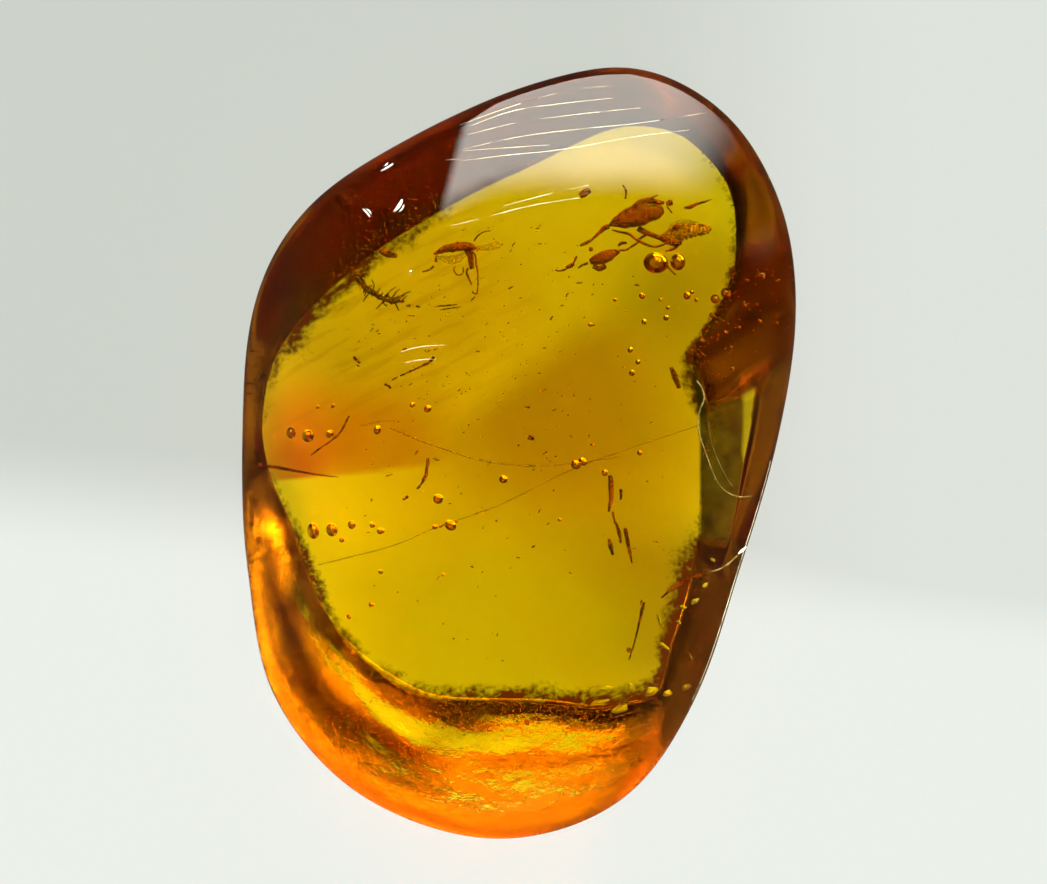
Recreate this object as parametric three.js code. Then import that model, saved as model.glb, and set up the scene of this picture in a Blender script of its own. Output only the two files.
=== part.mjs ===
// A polished piece of Baltic amber with insects in it, as one solid.
//
// The stone lies on its flat back, the face that was ground to make a window into it. A bevel rises
// from the edge of that face to the girdle, which is the widest line of the stone, and a low dome
// closes the front. The outline is a lopsided egg, seen from above. Everything sealed in the amber
// is left out here: the solid is the amber itself.
//
// Millimetres, +Z up. The origin is under the middle of the outline's box, on the face it rests on.

import * as THREE from "three";

// ---- Driving dimensions ----------------------------------------------------------------------------

const THICKNESS = 9.0; // from the flat back to the crown of the dome
const GIRDLE_LIFT = 0.35; // how far the girdle stands above the top of the bevel's slope,
const GIRDLE_SHARE = 0.12; // and how much more, as a share of that slope's own height
const BEVEL_STRAIGHT = 0.62; // the share of the bevel that is straight, before it rounds into the girdle
const DOME_POWER = 2.2; // 2 is a parabola in section; above 2 the crown is flatter
const EDGE_ROUNDING = [0.5, 0.45]; // the dome's edge is rounded this far in, and this far up
const CROWN_OFFSET = [-0.5, -0.9]; // the dome's highest point, from the pole that the rings close on
const POLE = [0.0, -0.5]; // the rings close on this point, above and below

const SEGMENTS = 120; // round the outline
const DOME_RINGS = 20;
const DOME_SHARE = 0.75; // the share of the dome's rings that lie inside its rounded edge
const BEVEL_RINGS = 16;
const BACK_RINGS = [0.985, 0.94, 0.8, 0.45]; // rings on the flat back, as shares of its radius

// The outline seen from above, anticlockwise from the right.
const OUTLINE = [
  [11.56, 5.9], [10.95, 10.4], [8.7, 14.05], [5.0, 15.95], [0.7, 15.25], [-4.6, 12.9],
  [-8.7, 10.1], [-11.0, 6.2], [-11.6, 0.4], [-11.3, -5.2], [-10.1, -10.2], [-6.6, -14.2],
  [-1.2, -16.0], [3.9, -14.75], [7.2, -10.8], [9.3, -5.0], [10.9, 0.6],
];

// The edge of the flat back, anticlockwise from the right. Its notch on the right is a flake scar.
const BACK_EDGE = [
  [6.4, -0.5], [6.7, 2.4], [6.5, 3.6], [7.7, 5.2], [8.5, 7.2], [8.2, 10.6], [6.5, 12.6],
  [3.8, 12.7], [-2.0, 9.6], [-5.5, 7.4], [-7.7, 5.3], [-9.0, 3.4], [-9.4, 0.8], [-8.9, -1.6],
  [-7.9, -3.6], [-7.1, -5.9], [-6.0, -8.1], [-3.2, -9.9], [0.6, -10.1], [4.2, -10.3], [5.0, -8.4],
  [6.1, -4.2],
];

// How high the bevel's slope has risen at the outline, by direction: [degrees, millimetres].
const BEVEL_HEIGHT = [
  [0, 3.5], [28, 4.2], [50, 3.2], [72, 3.1], [95, 3.8], [128, 3.7], [155, 2.9], [180, 2.5],
  [200, 3.0], [232, 4.5], [268, 5.3], [290, 4.7], [310, 3.7], [335, 3.4],
];

// A flake has left a small ledge across the bevel on the right.
// It is given by direction, in degrees, and by its inner and outer edge, as shares of the bevel's width.
const LEDGE = { from: -5, to: 20, fade: 4, inner: 0.33, outer: 0.45 };

// ---- Outlines as radii from the pole ----------------------------------------------------------------

const TURN = 2 * Math.PI;
const turned = (angle) => ((angle % TURN) + TURN) % TURN;
const mix = (a, b, share) => a + (b - a) * share;

// A smooth closed line through points, as a function that gives its distance from the pole.
function radiusOf(points, roundness) {
  const line = new THREE.CatmullRomCurve3(
    points.map(([x, y]) => new THREE.Vector3(x - POLE[0], y - POLE[1], 0)),
    true,
    "catmullrom",
    roundness,
  );
  const samples = line
    .getPoints(1440)
    .slice(0, -1)
    .map((p) => ({ angle: turned(Math.atan2(p.y, p.x)), radius: Math.hypot(p.x, p.y) }))
    .sort((a, b) => a.angle - b.angle);
  return (angle) => {
    const wanted = turned(angle);
    let next = samples.findIndex((s) => s.angle > wanted);
    if (next < 0) next = 0;
    const before = samples.at(next - 1);
    const after = samples[next];
    const span = turned(after.angle - before.angle) || 1;
    return mix(before.radius, after.radius, turned(wanted - before.angle) / span);
  };
}

// A smooth value round the stone, through [degrees, value] pairs.
function valueAround(pairs) {
  return (angle) => {
    const wanted = (turned(angle) * 360) / TURN;
    let next = pairs.findIndex(([degrees]) => degrees > wanted);
    if (next < 0) next = 0;
    const [from, low] = pairs.at(next - 1);
    const [to, high] = pairs[next];
    const share = ((wanted - from + 360) % 360) / ((to - from + 360) % 360);
    return mix(low, high, (1 - Math.cos(Math.PI * share)) / 2);
  };
}

const outlineRadius = radiusOf(OUTLINE, 0.5);
const backRadius = radiusOf(BACK_EDGE, 0.35);
const bevelHeight = valueAround(BEVEL_HEIGHT);
const girdleHeight = (angle) => bevelHeight(angle) * (1 + GIRDLE_SHARE) + GIRDLE_LIFT;

// ---- Rings, from the crown to the middle of the back -------------------------------------------------

// One ring is a function that gives a point for a direction.
const at = (angle, radius, height) =>
  new THREE.Vector3(POLE[0] + radius * Math.cos(angle), POLE[1] + radius * Math.sin(angle), height);

// The dome: a flattened parabola out to where the edge is rounded, then a curve that ends upright at
// the girdle.
function domePoint(angle, share) {
  const rim = outlineRadius(angle);
  const girdle = girdleHeight(angle);
  const [inset, rise] = EDGE_ROUNDING;
  const reach = rim - inset;
  // The dome's edge stands above the girdle by the rounding's rise and by its own fall over the inset.
  const fall = DOME_POWER * (inset / reach);
  const edge = (girdle + rise + fall * THICKNESS) / (1 + fall);
  const profile = (radius) => THICKNESS - (THICKNESS - edge) * Math.pow(radius / reach, DOME_POWER);
  const lean = (radius) => Math.max(1 - (radius / reach) ** 2, 0);
  const leaned = (radius, height) => {
    const point = at(angle, radius, height);
    point.x += CROWN_OFFSET[0] * lean(radius);
    point.y += CROWN_OFFSET[1] * lean(radius);
    return point;
  };
  if (share <= DOME_SHARE) {
    const radius = reach * Math.sin(((share / DOME_SHARE) * Math.PI) / 2);
    return leaned(radius, profile(radius));
  }
  const start = new THREE.Vector2(reach, edge);
  const corner = new THREE.Vector2(rim, girdle + rise);
  const end = new THREE.Vector2(rim, girdle);
  const curve = new THREE.QuadraticBezierCurve(start, corner, end);
  const p = curve.getPoint((share - DOME_SHARE) / (1 - DOME_SHARE));
  return at(angle, p.x, p.y);
}

// The bevel: a straight slope up from the back's edge, then a curve that ends upright at the girdle.
function bevelPoint(angle, share) {
  const edge = backRadius(angle);
  const rim = outlineRadius(angle);
  const foot = new THREE.Vector2(edge, 0);
  const corner = new THREE.Vector2(rim, bevelHeight(angle));
  const top = new THREE.Vector2(rim, girdleHeight(angle));
  const bend = foot.clone().lerp(corner, BEVEL_STRAIGHT);
  const out = 1 - share; // 0 at the back's edge, 1 at the girdle
  if (out < BEVEL_STRAIGHT) {
    const p = foot.clone().lerp(bend, out / BEVEL_STRAIGHT);
    return at(angle, p.x, p.y + ledgeLift(angle, (p.x - edge) / (rim - edge)) * corner.y);
  }
  const curve = new THREE.QuadraticBezierCurve(bend, corner, top);
  const p = curve.getPoint((out - BEVEL_STRAIGHT) / (1 - BEVEL_STRAIGHT));
  return at(angle, p.x, p.y);
}

// How far the ledge stands above the plain slope, as a share of the slope's height: a steeper slope
// leads up to it, and it is level from its inner to its outer edge.
function ledgeLift(angle, share) {
  const { from, to, fade, inner, outer } = LEDGE;
  const degrees = THREE.MathUtils.euclideanModulo((angle * 360) / TURN + 180, 360) - 180;
  const across =
    THREE.MathUtils.smoothstep(degrees, from - fade, from) -
    THREE.MathUtils.smoothstep(degrees, to, to + fade);
  const height = Math.min((share * outer) / inner, outer);
  return across * Math.max(height - share, 0);
}

const rings = [];
for (let i = 1; i <= DOME_RINGS; i++) rings.push((angle) => domePoint(angle, i / DOME_RINGS));
for (let i = 1; i <= BEVEL_RINGS; i++) rings.push((angle) => bevelPoint(angle, i / BEVEL_RINGS));
for (const share of BACK_RINGS) rings.push((angle) => at(angle, share * backRadius(angle), 0));

// ---- The solid ---------------------------------------------------------------------------------------

function closedSurface(ringPoints, crown, base) {
  const positions = [crown, ...ringPoints.flat(), base].flatMap((p) => p.toArray());
  const vertex = (ring, segment) => 1 + ring * SEGMENTS + (segment % SEGMENTS);
  const last = ringPoints.length - 1;
  const baseVertex = 1 + ringPoints.length * SEGMENTS;
  const triangles = [];
  for (let s = 0; s < SEGMENTS; s++) {
    triangles.push(0, vertex(0, s), vertex(0, s + 1));
    for (let r = 0; r < last; r++) {
      triangles.push(vertex(r, s), vertex(r + 1, s), vertex(r + 1, s + 1));
      triangles.push(vertex(r, s), vertex(r + 1, s + 1), vertex(r, s + 1));
    }
    triangles.push(vertex(last, s), baseVertex, vertex(last, s + 1));
  }
  const surface = new THREE.BufferGeometry();
  surface.setAttribute("position", new THREE.Float32BufferAttribute(positions, 3));
  surface.setIndex(triangles);
  surface.computeVertexNormals();
  return surface;
}

const ringPoints = rings.map((ring) =>
  Array.from({ length: SEGMENTS }, (_, s) => ring((s * TURN) / SEGMENTS)),
);
const crown = at(0, 0, THICKNESS).add(new THREE.Vector3(...CROWN_OFFSET, 0));
const amberSurface = closedSurface(ringPoints, crown, at(0, 0, 0));

const amberFinish = new THREE.MeshStandardMaterial({
  name: "polished amber",
  color: 0xc98a10,
  roughness: 0.05,
  metalness: 0.0,
  transparent: true,
  opacity: 0.6,
});

const amber = new THREE.Mesh(amberSurface, amberFinish);
amber.name = "amber";

const insectInAmber = new THREE.Group();
insectInAmber.add(amber);

export default insectInAmber;
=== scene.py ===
"""Insect in amber: a polished stone that lies on its flat back, with small gnats, bubbles, fibres and
cracks sealed in it.

Everything sealed is first modelled where it shows from straight above, in millimetres, and is then
settled to the place in the stone that really shows there, through the refraction of the dome.
"""

import math
import random
from types import SimpleNamespace
import bpy
import numpy as np
from bpy.props import FloatProperty, IntProperty, PointerProperty, StringProperty
from mathutils import Euler, Matrix, Vector, noise
from mathutils.bvhtree import BVHTree


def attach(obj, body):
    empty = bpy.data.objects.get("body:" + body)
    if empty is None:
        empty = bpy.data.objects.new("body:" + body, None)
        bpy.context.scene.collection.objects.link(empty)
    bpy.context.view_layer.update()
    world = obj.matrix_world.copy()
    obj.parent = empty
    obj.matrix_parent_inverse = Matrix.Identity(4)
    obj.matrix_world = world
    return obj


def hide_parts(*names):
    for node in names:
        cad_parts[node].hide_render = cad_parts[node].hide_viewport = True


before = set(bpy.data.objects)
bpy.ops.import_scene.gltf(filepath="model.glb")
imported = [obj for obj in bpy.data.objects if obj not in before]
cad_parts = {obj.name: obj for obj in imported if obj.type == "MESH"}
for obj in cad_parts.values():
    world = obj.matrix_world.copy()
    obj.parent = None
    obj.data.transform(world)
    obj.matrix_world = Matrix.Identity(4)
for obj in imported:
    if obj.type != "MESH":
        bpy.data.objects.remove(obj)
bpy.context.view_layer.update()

bl_info = {
    "name": "Insect in amber",
    "version": (1, 0, 0),
    "blender": (4, 5, 0),
    "location": "3D View > Sidebar > Amber",
    "description": "Builds a polished amber stone and what is sealed in it",
    "category": "Add Mesh",
}

MM = 0.001
AMBER_IOR = 1.54

# The place of the eye, straight above the stone, and the height of the plane on which places are
# measured, which is about the girdle's.
EYE = Vector((0.25, 0.29, 125.68))
MEASURED_AT = 4.5
ON_BACK = 0.02  # the height at which a spot on the back is looked up

# The solid's rings close on the pole, and have a point every few degrees round it.
POLE = np.array((0.0, -0.5))
SPOKE = 3.0

WHITE = (1, 1, 1, 1)


# ---- Small helpers ---------------------------------------------------------------------------------


def linear(hex_colour):
    """An sRGB hex value as linear red, green, blue and alpha."""
    parts = [int(hex_colour[i : i + 2], 16) / 255 for i in (0, 2, 4)]
    return [p / 12.92 if p <= 0.04045 else ((p + 0.055) / 1.055) ** 2.4 for p in parts] + [1.0]


def stain(hex_colour):
    """A colour for a see-through face, which tints light by the root of its base colour."""
    return [part**2 for part in linear(hex_colour)]


def add(tree, kind, sockets=None, **settings):
    """Adds a node. Settings are its own properties. Sockets are values, or outputs to link from."""
    made = tree.nodes.new("ShaderNode" + kind)
    for name, value in settings.items():
        setattr(made, name, value)
    for name, value in (sockets or {}).items():
        if isinstance(value, bpy.types.NodeSocket):
            tree.links.new(value, made.inputs[name])
        else:
            made.inputs[name].default_value = value
    return made


def blank(datablock):
    """The empty node tree of a material, a world or a light."""
    datablock.use_nodes = True
    datablock.node_tree.nodes.clear()
    return datablock.node_tree


def new_material(name):
    """An empty node material and its tree."""
    material = bpy.data.materials.new(name)
    return material, blank(material)


def finish(tree, kind, **shaders):
    """Adds the output node, of this kind, and links a shader to each of its named sockets."""
    add(tree, kind, {name: shader.outputs[0] for name, shader in shaders.items()})


def step(tree, value, start, end):
    """0 at start and 1 at end, smooth between."""
    sockets = {"Value": value, "From Min": start, "From Max": end}
    return add(tree, "MapRange", sockets, interpolation_type="SMOOTHSTEP").outputs["Result"]


def spread(tree, value, low, high, reach=(0.3, 0.7)):
    """Low at the start of a value's reach and high at its end, which are a noise's usual ones."""
    sockets = {"From Min": reach[0], "From Max": reach[1], "To Min": low, "To Max": high}
    return add(tree, "MapRange", {"Value": value, **sockets}).outputs["Result"]


def mixed_colour(tree, amount, first, second):
    """Two colours mixed. Each is a value or an output."""
    # the colour sockets of a Mix node come after its number and vector ones
    return add(tree, "Mix", {0: amount, 6: first, 7: second}, data_type="RGBA").outputs[2]


def calculated(tree, operation, a, b):
    """One calculation on two numbers or outputs."""
    return add(tree, "Math", {0: a, 1: b}, operation=operation).outputs[0]


def times(tree, a, b):
    """The product of two numbers or outputs."""
    return calculated(tree, "MULTIPLY", a, b)


def plus(tree, a, b):
    """The sum of two numbers or outputs."""
    return calculated(tree, "ADD", a, b)


def position(tree):
    """The shaded point, in the piece's own coordinates."""
    return add(tree, "TexCoord").outputs["Object"]


def along_axes(tree, place):
    """A place's X, Y and Z."""
    return add(tree, "SeparateXYZ", {0: place}).outputs


def carried(tree, name):
    """A value that the mesh carries point by point."""
    return add(tree, "Attribute", attribute_name=name).outputs["Fac"]


def patches(tree, place, scale, detail):
    """Soft noise, with this many patches to the metre."""
    return add(tree, "TexNoise", {"Vector": place, "Scale": scale, "Detail": detail}).outputs["Fac"]


def relief(tree, height, depth):
    """A bump of this depth, in millimetres."""
    sockets = {"Height": height, "Distance": depth * MM, "Strength": 1.0}
    return add(tree, "Bump", sockets).outputs[0]


def alone():
    """Nothing stays selected, so that an operator acts on the new object only."""
    bpy.ops.object.select_all(action="DESELECT")


def pick(obj):
    """Selects one object, and makes it the active one."""
    alone()
    obj.select_set(True)
    bpy.context.view_layer.objects.active = obj
    return obj


def show(name, data):
    """A new object in the scene, selected."""
    obj = bpy.data.objects.new(name, data)
    bpy.context.scene.collection.objects.link(obj)
    return pick(obj)


def in_edit_mode(obj, *steps):
    """Runs edit operators on the whole mesh of one object."""
    pick(obj)
    bpy.ops.object.mode_set(mode="EDIT")
    bpy.ops.mesh.select_all(action="SELECT")
    for operator, settings in steps:
        operator(**settings)
    bpy.ops.object.mode_set(mode="OBJECT")


def modified(obj, kind, **settings):
    """Adds a modifier and applies it."""
    pick(obj)
    bpy.ops.object.modifier_add(type=kind)
    modifier = obj.modifiers[-1]
    for name, value in settings.items():
        setattr(modifier, name, value)
    bpy.ops.object.modifier_apply(modifier=modifier.name)
    return obj


def lumps(obj, size, height, depth, **settings):
    """Displaces a surface with clouds of this size and height. The clouds' depth is their detail."""
    texture = bpy.data.textures.new(obj.name + "_lumps", "CLOUDS")
    texture.noise_scale = size
    texture.noise_depth = depth
    settings = {"texture": texture, "texture_coords": "LOCAL", "strength": height, **settings}
    return modified(obj, "DISPLACE", **settings)


def join(name, parts):
    """Joins objects into one."""
    pick(parts[0])
    for part in parts:
        part.select_set(True)
    if len(parts) > 1:
        bpy.ops.object.join()
    parts[0].name = parts[0].data.name = name
    return parts[0]


def rows(collection, name="co"):
    """One vector of every point of a mesh, one row each."""
    found = np.empty(len(collection) * 3)
    collection.foreach_get(name, found)
    return found.reshape(-1, 3)


def points_of(obj):
    """The places of the mesh's points, one row each."""
    return rows(obj.data.vertices)


def move_points(obj, places):
    """Puts the mesh's points at these places."""
    obj.data.vertices.foreach_set("co", np.array(places).ravel())
    obj.data.update()
    return obj


def carry(mesh, values):
    """Has a mesh carry named values, each with one number a point."""
    for name, value in values.items():
        attribute = mesh.attributes.new(name, "FLOAT", "POINT")
        attribute.data.foreach_set("value", value.astype(np.float32))


def lit_collection():
    """The stone and all that is sealed in it, which the studio lights shine on."""
    name = "Lit by the studio lights"
    return bpy.data.collections.get(name) or bpy.data.collections.new(name)


def finish_piece(obj, material):
    """Smooth faces, its material, and its place on the body of the stone."""
    pick(obj)
    bpy.ops.object.shade_smooth()
    obj.data.materials.clear()
    obj.data.materials.append(material)
    lit_collection().objects.link(obj)
    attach(obj, "root")


# ---- Places in the stone, through the dome ----------------------------------------------------------

sight = {}


def dome_hit(x, y):
    """Where the line of sight through (x, y) meets the dome, the dome's normal there, and the line."""
    eye = EYE * MM
    ray = (Vector((x, y, MEASURED_AT)) * MM - eye).normalized()
    point, normal, _, _ = sight["dome"].ray_cast(eye, ray)
    if point is None:
        raise RuntimeError(f"nothing of the stone shows at {x:.2f}, {y:.2f}")
    return point, normal, ray


def seen(x, y, height):
    """The place at a height in the stone that shows at (x, y). All in millimetres; metres back."""
    point, normal, ray = dome_hit(x, y)
    bend = 1 / AMBER_IOR
    facing = -ray.dot(normal)
    inward = bend * ray + (bend * facing - math.sqrt(1 - bend**2 * (1 - facing**2))) * normal
    return point + inward * ((height * MM - point.z) / inward.z)


def settle(obj):
    """Moves a piece that was modelled as it shows to where it is in the stone."""
    return move_points(obj, [seen(*p) for p in points_of(obj)])


def lay_on_dome(obj):
    """The same for a piece on the dome's surface. Its own heights are heights over the surface."""
    places = []
    for x, y, over in points_of(obj):
        point, normal, _ = dome_hit(x, y)
        places.append(point + normal * over * MM)
    return move_points(obj, places)


# ---- Ways to make a shape ----------------------------------------------------------------------------


def threads(name, lines, sides=2, smooth=4):
    """Round tapering threads in one mesh. A line is its points, its radii and its height."""
    curve = bpy.data.curves.new(name, "CURVE")
    curve.dimensions = "3D"
    curve.bevel_depth = 1.0
    curve.bevel_resolution = sides
    curve.resolution_u = smooth
    curve.use_fill_caps = True
    for points, radii, height in lines:
        spline = curve.splines.new("BEZIER")
        spline.bezier_points.add(len(points) - 1)
        shares = np.linspace(0, 1, len(points))
        widths = np.interp(shares, np.linspace(0, 1, len(radii)), radii)
        heights = np.interp(shares, (0, 1), height if isinstance(height, tuple) else (height, height))
        for knot, point, width, up in zip(spline.bezier_points, points, widths, heights):
            knot.co = (*point[:2], up)
            knot.handle_left_type = knot.handle_right_type = "AUTO"
            knot.radius = width
    show(name, curve)
    bpy.ops.object.convert(target="MESH")
    obj = bpy.context.object
    in_edit_mode(
        obj,
        (bpy.ops.mesh.remove_doubles, {"threshold": 1e-5}),
        (bpy.ops.mesh.normals_make_consistent, {"inside": False}),
    )
    return obj


def ringed(points, radii, rings, depth, share):
    """A body line with a waist between its rings, as an insect's abdomen has, over a share of it."""
    along = np.linspace(0, 1, rings * 4 + 1)
    source = np.linspace(0, 1, len(points))
    places = [tuple(np.interp(t, source, [p[i] for p in points]) for i in (0, 1)) for t in along]
    widths = np.interp(along, np.linspace(0, 1, len(radii)), radii)
    inside = (along >= share[0]) & (along <= share[1])
    waists = 1 - depth * inside * np.cos(2 * math.pi * rings * along)
    return places, list(widths * waists)


def blade(name, lines, flatness):
    """Threads pressed flat, as a wing or a film is."""
    flat = []
    for points, radii, height in lines:
        obj = threads(name, [(points, radii, 0.0)], sides=3)
        settings = {"value": (1, 1, flatness), "center_override": (0, 0, 0)}
        in_edit_mode(obj, (bpy.ops.transform.resize, settings))
        flat.append(move_points(obj, points_of(obj) + (0, 0, height)))
    return join(name, flat)


def wrinkle(obj, size, height):
    """Wrinkles a surface with soft noise of this grain and height."""
    return lumps(obj, size, height, 2)


def rough_grains(seeds, offset=0.28):
    """Rough grains, 1 in radius, that the many are copied from."""
    made = []
    for seed in seeds:
        alone()
        bpy.ops.mesh.primitive_ico_sphere_add(subdivisions=1, radius=1)
        settings = {"offset": offset, "uniform": 0.2, "seed": seed}
        in_edit_mode(bpy.context.object, (bpy.ops.transform.vertex_random, settings))
        made.append(bpy.context.object)
    return made


def copies(name, patterns, placements):
    """One mesh with a copy of a pattern, in turn, at each placement, which is a matrix."""
    shapes = [(points_of(p), [list(face.vertices) for face in p.data.polygons]) for p in patterns]
    places, faces, count = [], [], 0
    for i, matrix in enumerate(placements):
        own, own_faces = shapes[i % len(shapes)]
        turn = np.array(matrix)
        places.append(own @ turn[:3, :3].T + turn[:3, 3])
        faces += [[v + count for v in face] for face in own_faces]
        count += len(own)
    for pattern in patterns:
        bpy.data.objects.remove(pattern)
    mesh = bpy.data.meshes.new(name)
    mesh.from_pydata(np.concatenate(places).tolist(), [], faces)
    return show(name, mesh)


def placed(centre, turn, size):
    """The matrix of a copy: its place in metres, its turn and its size along each axis."""
    return Matrix.Translation(centre) @ turn.to_matrix().to_4x4() @ Matrix.Diagonal((*size, 1))


# ---- Materials ---------------------------------------------------------------------------------------


# Patches to the metre in the stone's soft noises: the veil on its back, the crust, and clumps and
# grains of dirt.
VEIL_PATCHES = 260.0
CRUST_PATCHES = 420.0
DIRT_CLUMPS = 1100.0
DIRT_GRAINS = 5200.0

# The tints of the veil and the flow streaks on the ground back, of the brown dirt, of the rusty wedge
# beside the scar and of the olive shade painted on the scar.
VEIL_TINT = "C8A060"
FLOW_TINT = "AC6420"
DIRT_TINT = "7E3E10"
WEDGE_TINT = "EE7A28"
SCAR_SHADE_TINT = "3C3E0C"


def distance_from(tree, place, spot):
    """How far the shaded point is from a spot on the back that is given as it shows from above."""
    sockets = {0: place, 1: seen(*spot, ON_BACK)}
    return add(tree, "VectorMath", sockets, operation="DISTANCE").outputs["Value"]


def beyond(tree, place, spot, turn, softness):
    """0 on one side of a line through a spot and 1 on the side that it faces, with a soft edge."""
    across = add(tree, "VectorMath", {0: place, 1: seen(*spot, ON_BACK)}, operation="SUBTRACT")
    facing = (math.cos(math.radians(turn)), math.sin(math.radians(turn)), 0)
    side = add(tree, "VectorMath", {0: across.outputs[0], 1: facing}, operation="DOT_PRODUCT")
    return step(tree, side.outputs["Value"], -0.4 * softness * MM, softness * MM)


def stained_back(tree, place, streaks):
    """The colour of the ground back: soft stains, a cloudy veil, and streaks along the resin's flow."""
    colour = WHITE
    for spot, radius, tint, strength, edge in STAINS:
        mask = step(tree, distance_from(tree, place, spot), radius * MM, 0.25 * radius * MM)
        if edge:
            mask = times(tree, mask, beyond(tree, place, *edge))
        colour = mixed_colour(tree, times(tree, mask, strength), colour, stain(tint))
    cloudy = step(tree, patches(tree, place, VEIL_PATCHES, 3.0), 0.35, 0.75)
    colour = mixed_colour(tree, times(tree, cloudy, 0.28), colour, linear(VEIL_TINT))
    near = step(tree, distance_from(tree, place, FLOW_CENTRE), FLOW_REACH[1] * MM, FLOW_REACH[0] * MM)
    streaky = times(tree, step(tree, streaks, 0.48, 0.66), near)
    return mixed_colour(tree, times(tree, streaky, 0.3), colour, linear(FLOW_TINT))


def amber_material(settings):
    """Baltic amber, polished: clear, with a glassy face, and honey-coloured by absorption alone.

    The ground back keeps faint stains. The crust left on the lower bevel is pitted and scatters light,
    which makes it glow."""
    material, tree = new_material("Polished Baltic amber")
    place = position(tree)
    turn, size = (0, 0, math.radians(FLOW_TURN)), [side * MM for side in FLOW_SIZE]
    sockets = {"Vector": place, "Rotation": turn, "Scale": size}
    flow = add(tree, "Mapping", sockets, vector_type="TEXTURE")
    streaks = patches(tree, flow.outputs[0], 1.0, 4.0)
    on_back = step(tree, along_axes(tree, place)["Z"], 0.06 * MM, 0.02 * MM)
    colour = mixed_colour(tree, on_back, WHITE, stained_back(tree, place, streaks))

    # Dirt lies in grains that stand closer where there is more of it.
    clumps = patches(tree, place, DIRT_CLUMPS, 1.0)
    grains = times(tree, patches(tree, place, DIRT_GRAINS, 2.0), 0.35)
    grains = plus(tree, grains, times(tree, clumps, 0.3))
    amount = plus(tree, grains, times(tree, streaks, 0.35))
    dirt = step(tree, plus(tree, amount, times(tree, carried(tree, "soil"), 0.55)), 0.7, 0.98)
    # the olive film on the scar is painted shade
    film = times(tree, carried(tree, "film"), spread(tree, clumps, 0.97, 1.0))
    wedge = carried(tree, "warm")
    for share, tint in ((dirt, DIRT_TINT), (wedge, WEDGE_TINT), (film, SCAR_SHADE_TINT)):
        colour = mixed_colour(tree, share, colour, stain(tint))

    crust = carried(tree, "crust")
    uneven = spread(tree, patches(tree, place, CRUST_PATCHES, 2.0), 0.55, 1.15)
    patchy = times(tree, crust, uneven)
    ground = times(tree, carried(tree, "ground"), settings.bevel_roughness)
    rough = calculated(tree, "MAXIMUM", times(tree, patchy, settings.crust_roughness), ground)
    pits = times(tree, patches(tree, place, settings.pit_scale, 4.0), crust)
    sockets = {
        "Base Color": colour,
        "Roughness": rough,
        "Normal": relief(tree, pits, settings.pit_depth),
        "IOR": AMBER_IOR,
        "Transmission Weight": 1.0,
    }
    absorption = {"Color": linear(settings.colour), "Density": settings.density}
    finish(
        tree,
        "OutputMaterial",
        Surface=add(tree, "BsdfPrincipled", sockets),
        Volume=add(tree, "VolumeAbsorption", absorption),
    )
    return material


# Natural matters: a darker and a paler tone, patches of them to the metre, alpha, roughness, the depth
# of the relief in millimetres, and how often to the metre a broken one fades out and in again. The
# cuticle's tones are settings.
MATTERS = {
    "Dried insect cuticle": (None, 3500.0, 0.8, 0.42, 0.01, 0),
    "Pale ringed abdomen": (("6E3C10", "A06A22"), 4200.0, 0.66, 0.5, 0.01, 0),
    "Wing membrane": (("6A4010", "9A701C"), 1800.0, 0.26, 0.7, 0, 0),
    "Matted hairs": (("4A2C0A", "7A5214"), 3000.0, 0.72, 0.7, 0, 0),
    # painted glint: the crack faces' flash is their pale colour
    "Crack face with a painted glint": (("D8D840", "FFFFA8"), 2200.0, 0.62, 0.3, 0, 0),
    "Plant fibre": (("4E2008", "7E4012"), 2500.0, 0.8, 0.6, 0.01, 0),
    "Hair-fine thread": (("7A4A14", "A06A1C"), 900.0, 0.34, 0.6, 0, 0),
    "Dark seam": (("6A2A08", "9A4A14"), 1500.0, 0.72, 0.7, 0, 0),
    "Dust in amber": (("5A2C0A", "8A5414"), 1500.0, 0.55, 0.8, 0, 0),
    "Olive-brown grit": (("6A4A10", "9A7424"), 700.0, 0.45, 0.8, 0, 0),
    # real scratches with a painted glint: their pale colour stands in for it
    "Frosted scratch, glint painted pale": (("D8CFA0", "F0E8C8"), 2000.0, 0.55, 0.7, 0, 900.0),
    # painted highlight: the chips' glints are their near-white colour
    "Chip glint, painted white": (("D0C8B4", "FFFFFF"), 9000.0, 0.5, 0.3, 0, 0),
    "Frosted crack lip": (("6A5A28", "A08C4C"), 2600.0, 0.4, 0.7, 0, 2200.0),
}


def matter(name, tones=None):
    """The material of a natural matter, in its own two tones or in these."""
    own_tones, scale, alpha, roughness, bump, broken = MATTERS[name]
    dark, pale = tones or own_tones
    material, tree = new_material(name)
    place = position(tree)
    mottle = patches(tree, place, scale, 3.0)
    tone = mixed_colour(tree, step(tree, mottle, 0.35, 0.65), linear(dark), linear(pale))
    # a low specular level keeps what is sealed in the stone from glinting
    sockets = {"Base Color": tone, "Roughness": roughness, "Specular IOR Level": 0.08, "Alpha": alpha}
    if broken:
        kept = step(tree, patches(tree, place, broken, 2.0), 0.3, 0.52)
        sockets["Alpha"] = times(tree, kept, alpha)
    if bump:
        sockets["Normal"] = relief(tree, mottle, bump)
    finish(tree, "OutputMaterial", Surface=add(tree, "BsdfPrincipled", sockets))
    return material


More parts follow.
